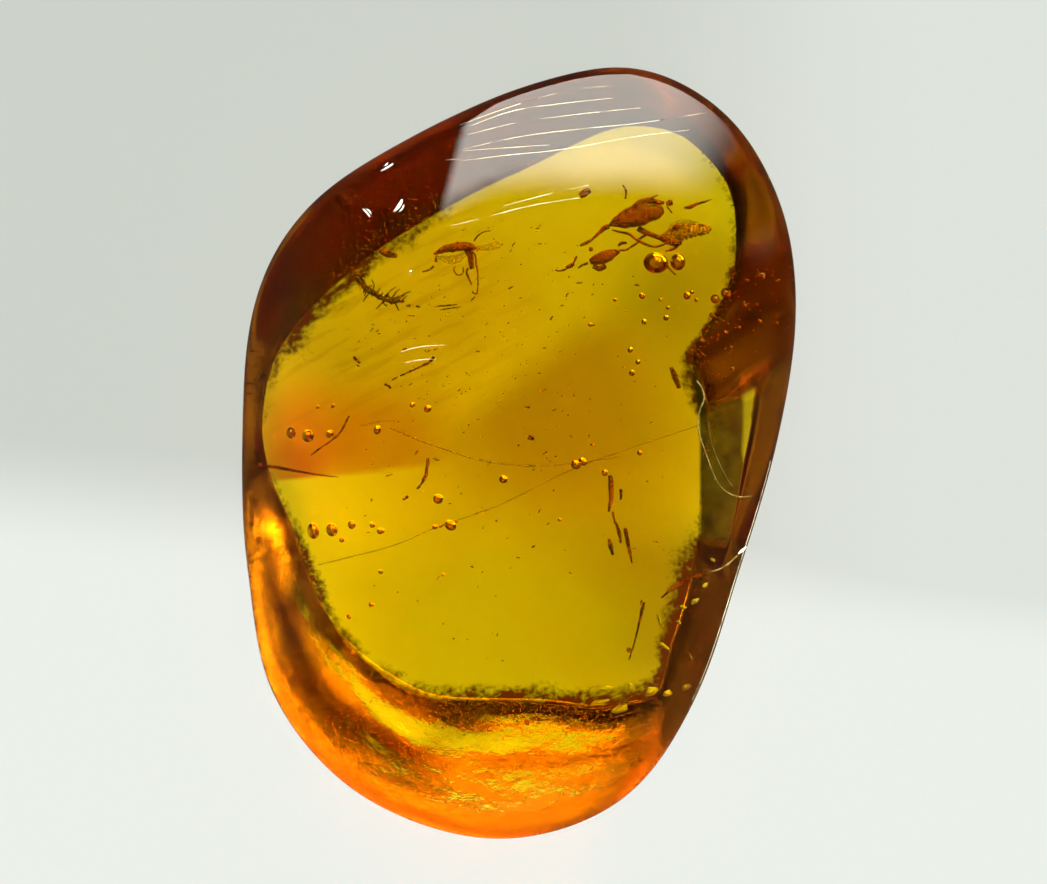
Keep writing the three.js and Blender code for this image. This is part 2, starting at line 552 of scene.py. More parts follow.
def film_material():
    """A brown to olive film of dirt, in grains that stand closer where there is more of it, and a haze
    of painted shade.
    """
    material, tree = new_material("Grimy film and painted shade")
    place = position(tree)
    clumps = patches(tree, place, 900.0, 2.0)
    amount = plus(tree, times(tree, patches(tree, place, 4200.0, 3.0), 0.55), times(tree, clumps, 0.45))
    covered = step(tree, plus(tree, amount, times(tree, carried(tree, "density"), 0.5)), 0.7, 0.95)
    # the haze is painted shade that darkens the bevel, over the grains of dirt
    haze_and_shade = times(tree, carried(tree, "haze_and_shade"), spread(tree, amount, 0.7, 1.25, (0.35, 0.65)))
    tone = mixed_colour(tree, carried(tree, "rust"), linear("34360C"), linear("541A04"))
    sockets = {
        "Base Color": mixed_colour(tree, times(tree, clumps, 0.5), tone, linear("120A02")),
        "Roughness": 0.9,
        "Alpha": plus(tree, times(tree, covered, 0.45), haze_and_shade),
    }
    finish(tree, "OutputMaterial", Surface=add(tree, "BsdfPrincipled", sockets))
    return material


def bubble_material():
    """Gas in amber: the light bends the other way as it goes from the resin into the gas."""
    material, tree = new_material("Gas in amber")
    mottle = patches(tree, position(tree), 3000.0, 1.0)
    tone = mixed_colour(tree, mottle, linear("EED8B0"), linear("D8B078"))
    gas = {"Color": tone, "Roughness": 0.0, "IOR": 1 / AMBER_IOR}
    finish(tree, "OutputMaterial", Surface=add(tree, "BsdfGlass", gas))
    return material


# ---- Where everything is, in millimetres as it shows from straight above ----------------------------

# Stains on the ground back: place, radius, tint, strength, and for a stain with one sharp edge a
# place on that edge and the way it faces, in degrees.
STAINS = [
    ((1.77, 2.04), 7.5, "D8BC94", 0.9, ((-1.98, 2.12), -52, 1.4)),
    ((7.6, 6.62), 4.5, "CCBC8C", 0.8, None),
    ((5.1, -6.71), 6.0, "BEA274", 0.88, None),
    ((-9.06, 2.88), 4.5, "ECDCA0", 0.8, None),
    ((-9.06, 0.17), 3.4, "F49A50", 0.9, ((-7.81, -1.17), 98, 0.2)),
    ((-9.48, -0.71), 1.9, "D87038", 0.7, ((-7.81, -1.17), 98, 0.2)),
    ((-1.98, -7.96), 7.5, "D8E4C0", 0.9, None),
    ((-5.73, 0.38), 3.2, "E8A860", 0.8, ((-4.9, -0.88), 100, 0.3)),
    ((-3.65, 6.62), 5.0, "F6E0A8", 0.6, None),
]

# Insects and fibres: points along a line, radii along it, and the height in the stone.
GNAT_LONG_BODY = [
    ([(3.81, 9.29), (4.06, 9.42), (4.35, 9.52), (4.69, 9.65), (5.02, 9.73), (5.31, 9.77), (5.56, 9.79)],
     [0.042, 0.208, 0.342, 0.417, 0.479, 0.438, 0.292], 4.2),
    ([(5.23, 9.75), (5.52, 9.81), (5.77, 9.88), (5.98, 9.9), (6.1, 9.88)],
     [0.208, 0.333, 0.333, 0.271, 0.083], 4.3),
    ([(4.77, 10.04), (5.1, 10.23), (5.44, 10.33), (5.77, 10.31), (6.1, 10.25)],
     [0.083, 0.15, 0.146, 0.117, 0.058], 4.4),
    ([(3.81, 9.29), (3.56, 9.15), (3.27, 8.88), (2.94, 8.62), (2.6, 8.46)],
     [0.125, 0.104, 0.054, 0.067, 0.054], 4.1),
    ([(6.19, 10.21), (6.35, 10.25), (6.48, 10.23)], [0.083, 0.125, 0.062], 4.3),
]
GNAT_LONG_LEGS = [
    ([(6.23, 10.12), (6.31, 10), (6.44, 9.83)], [0.046, 0.033], 4.3),
    ([(5.4, 10.33), (5.6, 10.46), (5.85, 10.58)], [0.05, 0.025], 4.5),
    ([(5.02, 9.21), (5.23, 9.08), (5.52, 8.96), (5.85, 8.83), (6.19, 8.71)], [0.125, 0.113, 0.092],
     4.0),
    ([(3.94, 9.12), (4.27, 9.04), (4.65, 8.96), (4.94, 8.75), (5.23, 8.58), (5.6, 8.44), (5.94, 8.46),
      (6.27, 8.62)], [0.033, 0.062, 0.062, 0.05, 0.042], 4.4),
    ([(5.35, 8.92), (5.1, 8.75), (4.98, 8.58), (4.73, 8.42), (4.52, 8.29), (4.19, 8.29)],
     [0.054, 0.042], 3.9),
    ([(4.56, 8.58), (4.35, 8.58), (4.19, 8.46)], [0.05, 0.083, 0.05], 4.0),
]
GNAT_RINGED_BODY = [
    (*ringed([(5.94, 8.83), (6.23, 8.88), (6.52, 8.96), (6.81, 9.02), (7.1, 9.08), (7.4, 9.12),
              (7.69, 9.15), (7.94, 9.17), (8.08, 9.19)],
             [0.083, 0.188, 0.292, 0.354, 0.325, 0.283, 0.25, 0.188, 0.062], 12, 0.1, (0.35, 1.0)),
     3.8),
]
GNAT_RINGED_DARK = [
    ([(5.98, 8.75), (6.27, 8.65), (6.56, 8.58), (6.85, 8.58)], [0.083, 0.142, 0.142, 0.083], 3.9),
    ([(6.44, 9.17), (6.6, 9.25), (6.81, 9.27)], [0.062, 0.125, 0.067], 4.1),
    ([(6.69, 8.54), (6.56, 8.38), (6.35, 8.29), (6.15, 8.25)], [0.075, 0.067, 0.054, 0.037], 3.9),
    ([(6.94, 10.04), (7.19, 10.08), (7.48, 10.21), (7.77, 10.29), (8.1, 10.4)],
     [0.042, 0.092, 0.062, 0.05, 0.017], 4.2),
]
GNAT_CURLED_BODY = [
    ([(3.02, 7.79), (3.27, 7.88), (3.52, 7.96), (3.81, 8.08), (4.1, 8.19), (4.27, 8.21)],
     [0.104, 0.229, 0.271, 0.25, 0.146, 0.042], 4.0),
    ([(3.15, 7.62), (3.4, 7.52), (3.69, 7.62)], [0.083, 0.125, 0.096], 3.9),
    ([(2.02, 7.54), (2.19, 7.62), (2.35, 7.71)], [0.067, 0.1, 0.062], 4.0),
]
GNAT_CURLED_LEGS = [
    ([(2.94, 7.75), (2.73, 7.67), (2.52, 7.54)], [0.058, 0.037], 4.1),
    ([(2.48, 8.04), (2.4, 7.88), (2.31, 7.71)], [0.042, 0.042], 4.1),
    ([(2.02, 7.5), (1.77, 7.42), (1.56, 7.46)], [0.046, 0.025], 4.0),
    ([(2.98, 8.35), (3.06, 8.33), (3.15, 8.33)], [0.083, 0.108, 0.075], 4.0),
]
MIDGE_BODY = [
    (*ringed([(-3.48, 8.12), (-3.23, 8.25), (-2.94, 8.35), (-2.6, 8.42), (-2.27, 8.44), (-1.98, 8.42),
              (-1.69, 8.35)], [0.05, 0.117, 0.167, 0.192, 0.2, 0.175, 0.05], 8, 0.08, (0.0, 0.6)), 4.4),
    ([(-2.1, 8.38), (-1.98, 8.12), (-1.94, 7.83), (-1.88, 7.5)], [0.167, 0.15, 0.125, 0.1], 4.3),
]
MIDGE_LEGS = [
    ([(-2.06, 7.54), (-2.12, 7.38), (-2.02, 7.08), (-1.9, 6.83)], [0.054, 0.029], 4.2),
    ([(-1.73, 7.71), (-1.67, 7.46), (-1.65, 7.04), (-1.67, 6.5)], [0.042, 0.025], 4.5),
    ([(-1.9, 6.58), (-1.77, 6.46), (-1.65, 6.5)], [0.033, 0.025], 4.2),
    ([(-3.48, 7.62), (-3.69, 7.46), (-3.98, 7.38)], [0.042, 0.029], 4.3),
    ([(-3.4, 8.04), (-3.4, 7.79)], [0.033, 0.067], 4.3),
    ([(-1.81, 8.67), (-1.65, 8.88), (-1.4, 9.04), (-1.1, 9.1)], [0.037, 0.025], 4.6),
    ([(-2.6, 7.62), (-2.65, 7.46), (-2.48, 7.25), (-2.27, 7.33), (-2.27, 7.58)], [0.029, 0.029], 4.0),
    ([(-1.98, 8.29), (-1.77, 8.08), (-1.73, 7.71)], [0.05, 0.037], 4.5),
]
WINGS = [
    ([(-1.81, 8.38), (-1.48, 8.38), (-1.15, 8.44), (-0.85, 8.5), (-0.6, 8.58)],
     [0.05, 0.133, 0.175, 0.175, 0.062], 4.45),
    ([(-3.4, 8.04), (-3.06, 7.92), (-2.73, 7.88), (-2.4, 7.98), (-2.1, 8.21)],
     [0.042, 0.146, 0.192, 0.167, 0.067], 4.3),
    ([(4.94, 10.12), (5.27, 10.12), (5.69, 10), (6.02, 9.83)], [0.062, 0.125, 0.142, 0.05], 4.6),
    ([(6.1, 8.79), (6.44, 9.29), (6.94, 9.46), (7.52, 9.42)], [0.042, 0.108, 0.125, 0.042], 4.0),
]
TUFT_SPINE = [
    (-6.65, 7.46), (-6.56, 7), (-6.31, 6.69), (-5.94, 6.46), (-5.56, 6.27), (-5.15, 6.17),
    (-4.73, 6.15),
]
TUFT_WIDTHS = [0.188, 0.229, 0.192, 0.175, 0.183, 0.158, 0.054]
TUFT_HAIRS = [
    ([(-5.23, 6.25), (-5.1, 6.5), (-4.9, 6.67)], [0.046, 0.021], 3.8),
    ([(-4.98, 6.25), (-4.73, 6.46), (-4.44, 6.58)], [0.05, 0.021], 3.7),
    ([(-5.48, 6.33), (-5.31, 6.58), (-5.06, 6.75)], [0.042, 0.021], 3.9),
    ([(-5.56, 6.17), (-5.73, 6), (-5.9, 5.83)], [0.042, 0.017], 3.5),
    ([(-6.15, 6.5), (-6.31, 6.33), (-6.44, 6.12)], [0.037, 0.017], 3.5),
    ([(-5.1, 6.08), (-5.02, 5.92), (-4.94, 5.75)], [0.037, 0.017], 3.5),
    ([(-6.06, 6.58), (-5.98, 6.83), (-6.1, 7.08)], [0.042, 0.021], 3.8),
    ([(-4.6, 5.98), (-4.48, 5.94)], [0.058, 0.05], 3.6),
    ([(-4.23, 5.96), (-4.06, 5.9)], [0.05, 0.037], 3.6),
]
FIBRES = [
    ([(-3.73, -0.38), (-3.75, -0.71), (-3.81, -1.04), (-3.98, -1.42), (-4.19, -1.67)],
     [0.083, 0.075, 0.046], 4.6),
    ([(-4.56, -1.96), (-4.77, -2.12)], [0.067, 0.046], 4.4),
    ([(-3.48, 3.83), (-3.73, 3.58), (-3.98, 3.46), (-4.44, 3.25), (-4.9, 3.04)], [0.071, 0.033], 4.6),
    ([(-7.02, 1.38), (-7.19, 1.04), (-7.35, 0.75), (-7.77, 0.33), (-8.15, 0.08), (-8.6, -0.25)],
     [0.046, 0.042, 0.029], 4.4),
    ([(-6.85, 3.83), (-6.56, 3.58)], [0.071, 0.054], 4.0),
    ([(-5.52, 2.71), (-5.27, 2.54)], [0.054, 0.042], 4.2),
    ([(6.4, 3.42), (6.56, 3), (6.73, 2.54)], [0.083, 0.133, 0.083], 3.4),
    ([(3.85, -1.08), (3.9, -1.5), (3.9, -2), (3.81, -2.62)], [0.092, 0.117, 0.1, 0.042], 4.4),
    ([(4.31, -1.67), (4.31, -2.12)], [0.067, 0.05], 4.5),
    ([(4.1, -3.04), (4.23, -3.46), (4.31, -3.92)], [0.046, 0.083, 0.042], 4.3),
    ([(3.98, -2.62), (4.06, -3.12)], [0.046, 0.037], 4.4),
    ([(4.48, -3.29), (4.6, -3.88), (4.77, -4.75)], [0.071, 0.092, 0.033], 4.2),
    ([(3.81, -3.75), (3.9, -4.12), (3.98, -4.42)], [0.058, 0.1, 0.05], 4.1),
    ([(5.27, -6.38), (5.1, -7.12), (4.9, -7.96), (4.65, -8.79)], [0.071, 0.046, 0.025], 4.2),
    ([(-3.48, 5.92), (-3.19, 5.96), (-2.85, 5.98), (-2.52, 6.02)], [0.021, 0.042, 0.017], 4.2),
    ([(-3.23, 5.79), (-2.73, 5.88), (-2.27, 5.92)], [0.017, 0.025, 0.012], 4.1),
    ([(4.4, 11), (4.52, 10.75), (4.5, 10.42)], [0.042, 0.046, 0.033], 4.4),
    ([(-5.73, 8.29), (-5.4, 8.12), (-5.02, 8.04)], [0.104, 0.15, 0.083], 2.4),
    ([(0.44, 0.5), (0.69, 0.42)], [0.092, 0.083], 4.6),
    ([(2.6, 10.54), (2.81, 10.67), (3.02, 10.79)], [0.125, 0.167, 0.104], 5.0),
]
HAIR_THREADS = [
    ([(-5.31, 0.88), (-4.73, 0.62), (-4.15, 0.38), (-2.98, -0.04), (-1.77, -0.42), (-0.1, -0.67),
      (1.77, -0.67), (3.1, -0.5), (4.27, -0.33)], [0.029, 0.019], 4.8),
    ([(-8.31, -4.83), (-6.98, -4.5), (-5.1, -4), (-3.35, -3.25), (-1.98, -2.79), (-0.73, -2.33),
      (1.77, -1.08), (4.27, -0.12), (7.6, 1)], [0.025, 0.017], 4.0),
    ([(-6.56, 0.96), (-5.31, 1.17), (-4.9, 1.12)], [0.021, 0.029], 4.8),
]
SEAMS = [
    ([(-11.15, -0.58), (-10.65, -0.67), (-9.9, -0.79), (-8.98, -0.96), (-8.15, -1.1), (-7.48, -1.17)],
     [0.025, 0.062, 0.071, 0.046, 0.033, 0.012], 1.6),
    ([(6.1, 7.79), (6.27, 7.58), (6.6, 7.25)], [0.042, 0.058, 0.033], 3.6),
    ([(7.9, -5.17), (7.19, -5.38), (6.6, -5.71), (5.98, -6.21)], [0.075, 0.1, 0.037], 4.2),
]

# Bubbles: place and radius.
BUBBLES = [
    (5.77, 7.75, 0.487), (6.69, 7.79, 0.346), (8.23, 6.25, 0.208), (8.69, 6.5, 0.25),
    (10.15, 7.25, 0.208), (9.56, 7.04, 0.104), (10.81, 7, 0.104), (7.06, 6.38, 0.167),
    (7.27, 6.54, 0.104), (5.19, 6.38, 0.125), (8.1, 5.58, 0.125), (6.19, 5.46, 0.125),
    (5.27, 5.29, 0.125), (9.48, 6, 0.104), (9.98, 6.04, 0.083), (10.1, 5.33, 0.104),
    (10.81, 5.25, 0.083), (9.23, 5.08, 0.083), (8.69, 4.88, 0.104), (8.9, 4.25, 0.083),
    (8.94, 3.38, 0.104), (7.69, 4.54, 0.125), (-9.44, 0.67, 0.25), (-8.73, 0.54, 0.292),
    (-7.81, 0.62, 0.188), (-5.85, 0.79, 0.167), (-8.52, -3.42, 0.292), (-7.73, -3.38, 0.258),
    (-7.31, -3.79, 0.125), (-6.9, -3.17, 0.167), (-5.69, -3.42, 0.167), (-6.06, -3.17, 0.125),
    (-3.31, -2.08, 0.192), (-2.81, -3.17, 0.208), (-3.44, -3.25, 0.104), (-0.6, -1.25, 0.167),
    (2.44, -0.67, 0.188), (2.73, -0.54, 0.167), (3.65, -1, 0.142), (5.1, -0.17, 0.108),
    (-5.69, -5.12, 0.1), (-6.1, -6.5, 0.108), (-7.02, -7, 0.092), (-7.69, 1.79, 0.092),
    (-8.31, 1.75, 0.083), (-4.4, 1.83, 0.104), (-3.73, 1.67, 0.146), (4.65, -8.38, 0.125),
    (4.69, 4.12, 0.125), (5.02, 3.62, 0.104), (4.77, 3.17, 0.125), (3.02, 5.17, 0.083),
    (4.06, 6.21, 0.083), (6.27, 5.88, 0.092), (5.94, 6.21, 0.075), (7.44, 6.21, 0.092),
    (-3.1, -5.25, 0.075), (1.77, -2.96, 0.075),
]

# Crack faces, with their glint painted pale yellow-green: place, half length, half width and turn in
# degrees.
SPANGLES = [
    ((7.4, -6.33), 0.25, 0.125, 20), ((6.85, -6.58), 0.25, 0.1, -5), ((5.9, -7.17), 0.333, 0.108, -68),
    ((6.1, -8.21), 0.375, 0.117, -38), ((7.23, -8.62), 0.208, 0.067, -65),
    ((6.73, -7.21), 0.167, 0.083, -30), ((5.6, -10.08), 0.333, 0.25, 10),
    ((4.73, -9.92), 0.208, 0.292, 0), ((6.27, -10.17), 0.25, 0.208, 30),
    ((7.02, -9.92), 0.25, 0.167, 20), ((3.69, -10), 0.292, 0.167, 10),
    ((4.31, -10.83), 0.333, 0.208, 15), ((3.44, -10.54), 0.375, 0.125, 5),
    ((7.81, -5.67), 0.208, 0.125, 40), ((8.15, -4.62), 0.167, 0.083, -20),
]

# Cracks that reach the dome's surface, and fine scratches on it, whose glint is painted in their pale
# colour.
CRACK_LIPS = [
    ([(7.48, 2.83), (7.69, 2.5), (7.77, 2.12), (7.6, 1.62), (7.52, 1.12), (7.6, 0.5), (7.81, -0.08),
      (8.06, -0.79), (8.35, -1.42), (8.65, -1.75), (8.94, -1.92), (9.4, -2), (9.77, -1.96)],
     [0.042, 0.054, 0.05, 0.033]),
    ([(7.94, 1.21), (8.06, 0.38), (8.31, -0.38), (8.65, -1.08), (8.98, -1.62)], [0.029, 0.033, 0.025]),
    ([(9.4, -4.25), (9.19, -4.42), (8.98, -4.62), (8.52, -4.96), (7.9, -5.17)], [0.058, 0.042, 0.025]),
]
SCRATCHES = [
    [(-2.4, 12.46), (-1.15, 12.75), (0.06, 13), (2.6, 13.33), (5.1, 13.58), (7.81, 14)],
    [(-1.98, 13.46), (-0.19, 14.08), (1.77, 14.38), (3.94, 14.62)],
    [(-2.4, 12.42), (-0.52, 12.54), (1.31, 12.67)],
    [(-2.4, 12), (-0.31, 12.25), (1.73, 12.46), (5.1, 13.04), (7.19, 13.29)],
    [(-2.15, 13.08), (-1.15, 13.33), (-0.15, 13.58)],
    [(-2.81, 9.29), (-1.44, 9.62), (0.48, 10.12), (2.56, 10.46)],
    [(-0.6, 10.12), (1.15, 10.58), (2.98, 11)],
    [(2.77, 15.04), (3.73, 15.12)],
    [(-2.4, 13.5), (-0.31, 14.25), (1.6, 14.83)],
    [(-2.98, 12.04), (-2.48, 12.08)],
    [(-4.9, 4.04), (-4.06, 4.25), (-3.06, 4.33)],
    [(-4.73, 3.58), (-4.06, 3.71), (-3.4, 3.75)],
    [(0.94, 13.75), (3.02, 14), (5.1, 14.21)],
]

# Chips, with their glints painted white: points along each, and its half width.
CHIPS = [
    ([(-5.69, 11.58), (-5.44, 11.71), (-5.19, 11.88)], 0.046),
    ([(-5.56, 11.79), (-5.48, 11.83), (-5.4, 11.92)], 0.033),
    ([(-5.15, 9.88), (-4.94, 10.12), (-4.81, 10.38)], 0.079),
    ([(-4.94, 9.88), (-4.81, 10), (-4.73, 10.17)], 0.033),
    ([(-6.44, 10), (-6.27, 9.83), (-6.15, 9.67)], 0.037),
    ([(-6.31, 10), (-6.19, 9.92), (-6.1, 9.79)], 0.033),
    ([(9.19, -4.38), (9.35, -4.25), (9.52, -4.08)], 0.062),
    ([(-4.52, 7.33), (-4.48, 7.38), (-4.4, 7.42)], 0.046),
]

# The flow streaks of the resin on the ground back: where they are thickest, in millimetres as it
# shows from above, how far they reach at full strength and in all, which way they run, in degrees,
# and the length, width and depth of one.
FLOW_CENTRE = (-6.56, 6.21)
FLOW_REACH = (2.0, 8.5)
FLOW_TURN = 27
FLOW_SIZE = (2.4, 0.42, 2)

# ---- Tables round the bevel: the direction from the pole in degrees, and a value -------------------

# How strong the terraces are, and how much of that the outer one keeps. The first terrace's ledge runs
# at this share of the way across the bevel, and the next one at that distance from it.
TERRACES = [(0, 0), (190, 0), (206, 0.15), (226, 1.0), (265, 1.0), (285, 0.7), (312, 0), (360, 0)]
OUTER_TERRACE = [(0, 0), (238, 0), (254, 0.2), (275, 0.2), (286, 0), (360, 0)]
TERRACE_PLACE = 0.23
TERRACE_SPACING = 0.5

# How dark the rusty streak along the crust is, and where across the bevel it runs, how wide it is and
# how far it wanders, as shares of the bevel's width.
STREAK = [(0, 0), (192, 0), (205, 0.6), (218, 1.0), (246, 1.0), (260, 0), (360, 0)]
STREAK_PLACE = 0.5
STREAK_WIDTH = 0.155
STREAK_DRIFT = 0.12
STREAK_GRAINS = (202, 248)  # grains of dirt lie in it between these directions

# How thickly the film of dirt lies next to the back's edge, how dense its haze is there, how much shade
# its haze paints all across the bevel, and how rusty it is. At the bottom the band by the edge runs out
# to a point.
FILM_BY_EDGE = [
    (0, 0.3), (20, 0.5), (35, 0.9), (65, 0.9), (85, 0.5), (110, 0.7), (150, 1.0), (175, 0.5),
    (200, 0.9), (300, 1.0), (360, 0.3),
]
EDGE_HAZE = [
    (0, 0.2), (25, 0.2), (38, 0.55), (66, 0.45), (80, 0.2), (190, 0.2), (200, 0.6), (226, 0.6),
    (240, 0.3), (258, 0.55), (292, 0.5), (302, 0.2), (360, 0.2),
]
# the shade that the film's haze paints all across the bevel, by direction
FILM_PAINTED_SHADE = [
    (0, 0.02), (20, 0.02), (30, 0.04), (60, 0.2), (85, 0.14), (105, 0.11), (125, 0.15), (155, 0.17),
    (172, 0.08), (180, 0.24), (187, 0.26), (194, 0.08), (199, 0), (285, 0), (300, 0.1), (330, 0.22),
    (345, 0.04), (360, 0.02),
]
FILM_RUST = [
    (0, 0.1), (30, 0.8), (60, 0.3), (100, 0.8), (170, 0.8), (200, 0.2), (290, 0.3), (320, 0.8),
    (360, 0.1),
]
FILM_POINT = 260

# The band of dirt along the back's edge: its width in millimetres, and how thickly the grains lie.
EDGE_BAND = [
    (0, 0.5, 0.25), (14, 0.5, 0.3), (24, 1.0, 0.9), (38, 1.2, 0.8), (60, 0.8, 0.4), (90, 0.5, 0.2),
    (112, 1.0, 0.7), (150, 1.4, 0.85), (172, 0.5, 0.3), (198, 0.6, 0.7), (215, 0.8, 0.9),
    (235, 0.6, 0.6), (250, 0.9, 0.7), (275, 1.2, 0.9), (292, 1.3, 0.9), (308, 1.6, 0.95),
    (325, 1.9, 0.95), (337, 1.0, 0.6), (345, 0.5, 0.25), (360, 0.5, 0.25),
]

# The flake scar reaches this share of the way out across the bevel, at this slope. Its painted olive
# shade lies between these places, left, right, below and above: each as it shows from above, and its
# height.
SCAR_EDGE = 0.47
SCAR_SLOPE = 0.5
SCAR_SHADE = [((7.48, -0.88), 0.3), ((9.44, 0.79), 1.0), ((8.44, -4.29), 0.8), ((8.44, 3.21), 0.8)]
SMUDGE = (-9.06, 6.21)  # the middle of the thin dirt at the upper left

# The solid's girdle stands above the top of the bevel's slope by this, and by this share of its height.
GIRDLE_LIFT = 0.35
GIRDLE_SHARE = 0.12


# ---- Settings ----------------------------------------------------------------------------------------


def colour_setting(name, what, default):
    """A colour, given as sRGB hex."""
    return StringProperty(name=name, description="sRGB hex of " + what, default=default)


def amount_setting(name, what, default, **limits):
    """A number that is never below nothing."""
    return FloatProperty(name=name, description=what, default=default, **{"min": 0.0, **limits})


SHARE = {"max": 1.0, "subtype": "FACTOR"}


class AmberStoneSettings(bpy.types.PropertyGroup):
    """The stone and its finish."""

    colour: colour_setting("Colour", "what about a millimetre of amber lets through", "FCF600")
    density: amount_setting("Density", "Absorption to the metre", 1000.0)
    crust_roughness: amount_setting("Crust roughness", "Roughness of the pitted crust", 0.28, **SHARE)
    bevel_roughness: amount_setting("Bevel roughness", "Roughness of the ground bevel", 0.13, **SHARE)
    ripple: amount_setting("Terrace height", "Height as a share of the bevel's width", 0.026)
    crust_height: amount_setting("Crust lumps (mm)", "Height of the crust's lumps", 0.1)
    pit_scale: amount_setting("Pits to the metre", "How close the pits stand", 2500.0, min=1.0)
    pit_depth: amount_setting("Pit depth (mm)", "Depth of the pits", 0.06)


class AmberInclusionSettings(bpy.types.PropertyGroup):
    """What is sealed in the stone."""

    cuticle: colour_setting("Cuticle", "the insects' darker parts", "641F06")
    cuticle_pale: colour_setting("Pale cuticle", "the insects' paler parts", "7A3610")
    specks: IntProperty(
        name="Specks", description="How many specks of dust float in the stone", default=330, min=0
    )
    dirt: IntProperty(
        name="Edge dirt", description="How many grains line the edge of the back", default=5200, min=0
    )
    seed: IntProperty(name="Seed", description="Seed of everything scattered", default=7)


class AmberStageSettings(bpy.types.PropertyGroup):
    """The studio."""

    # the floor's painted glow, darker on the far side than near
    floor_top: colour_setting("Floor, far", "the floor's far side", "CED3CA")
    floor_low: colour_setting("Floor, near", "the floor's near side", "EDF2EB")
    softbox: amount_setting("Softbox", "Radiance of the softbox that the dome mirrors", 8.0)
    glow: amount_setting("Glow light", "Radiance of the light that shines through the stone", 27.0)


# ---- Operators ---------------------------------------------------------------------------------------


def smooth(share):
    """A share, held between 0 and 1 and eased at both ends."""
    share = np.clip(share, 0, 1)
    return share * share * (3 - 2 * share)


def ramp(values, start, end):
    """0 at start and 1 at end, smooth between, for each value."""
    return smooth((values - start) / (end - start))


def looked_up(directions, table):
    """A table's values in these directions, in degrees."""
    degrees, *values = zip(*table)
    found = [np.interp(directions, degrees, value) for value in values]
    return found if len(found) > 1 else found[0]


def soft_noise(places, grain, offset=0):
    """A soft random number for each place, that changes over this many millimetres."""
    return np.array([noise.noise(Vector(p) / grain + Vector([offset] * 3)) for p in places])


def near_pole(degrees):
    """Places a millimetre from the pole, in these directions."""
    turns = np.radians(degrees)
    return np.stack((np.cos(turns), np.sin(turns), 0 * turns), axis=1) + (*POLE, 0)


def polar(places):
    """How far places in millimetres lie from the pole, and their direction in degrees."""
    off = places[:, :2] - POLE
    return np.hypot(off[:, 0], off[:, 1]), np.degrees(np.arctan2(off[:, 1], off[:, 0])) % 360


def on_bevel(places):
    """Where places in millimetres lie: their direction, how far they are outside the edge of the back
    and inside the outline, how far from the pole that edge is, how high the girdle stands, how wide the
    bevel is and what share of it they are across, and 1 where they are below the girdle."""
    solid = points_of(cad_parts["amber"]) / MM
    radius, turn = polar(solid)
    count = int(360 / SPOKE)
    spoke = np.round(turn / SPOKE).astype(int) % count
    lines = []
    for i in range(count):
        own = spoke == i
        widest = np.argmax(np.where(own, radius, 0))
        on_back = own & (solid[:, 2] < 1e-4)
        lines.append((i * SPOKE, radius[on_back].max(), radius[widest], solid[widest, 2]))
    degrees, *values = zip(*lines)
    away, turned = polar(places)
    edge, outline, girdle = (np.interp(turned, degrees, line, period=360) for line in values)
    out, rim = away - edge, outline - away
    at = SimpleNamespace(direction=turned, out=out, rim=rim, edge=edge, girdle=girdle)
    at.width = at.out + at.rim
    at.share = at.out / at.width
    at.below = (places[:, 2] < girdle - 0.05).astype(float)
    return at


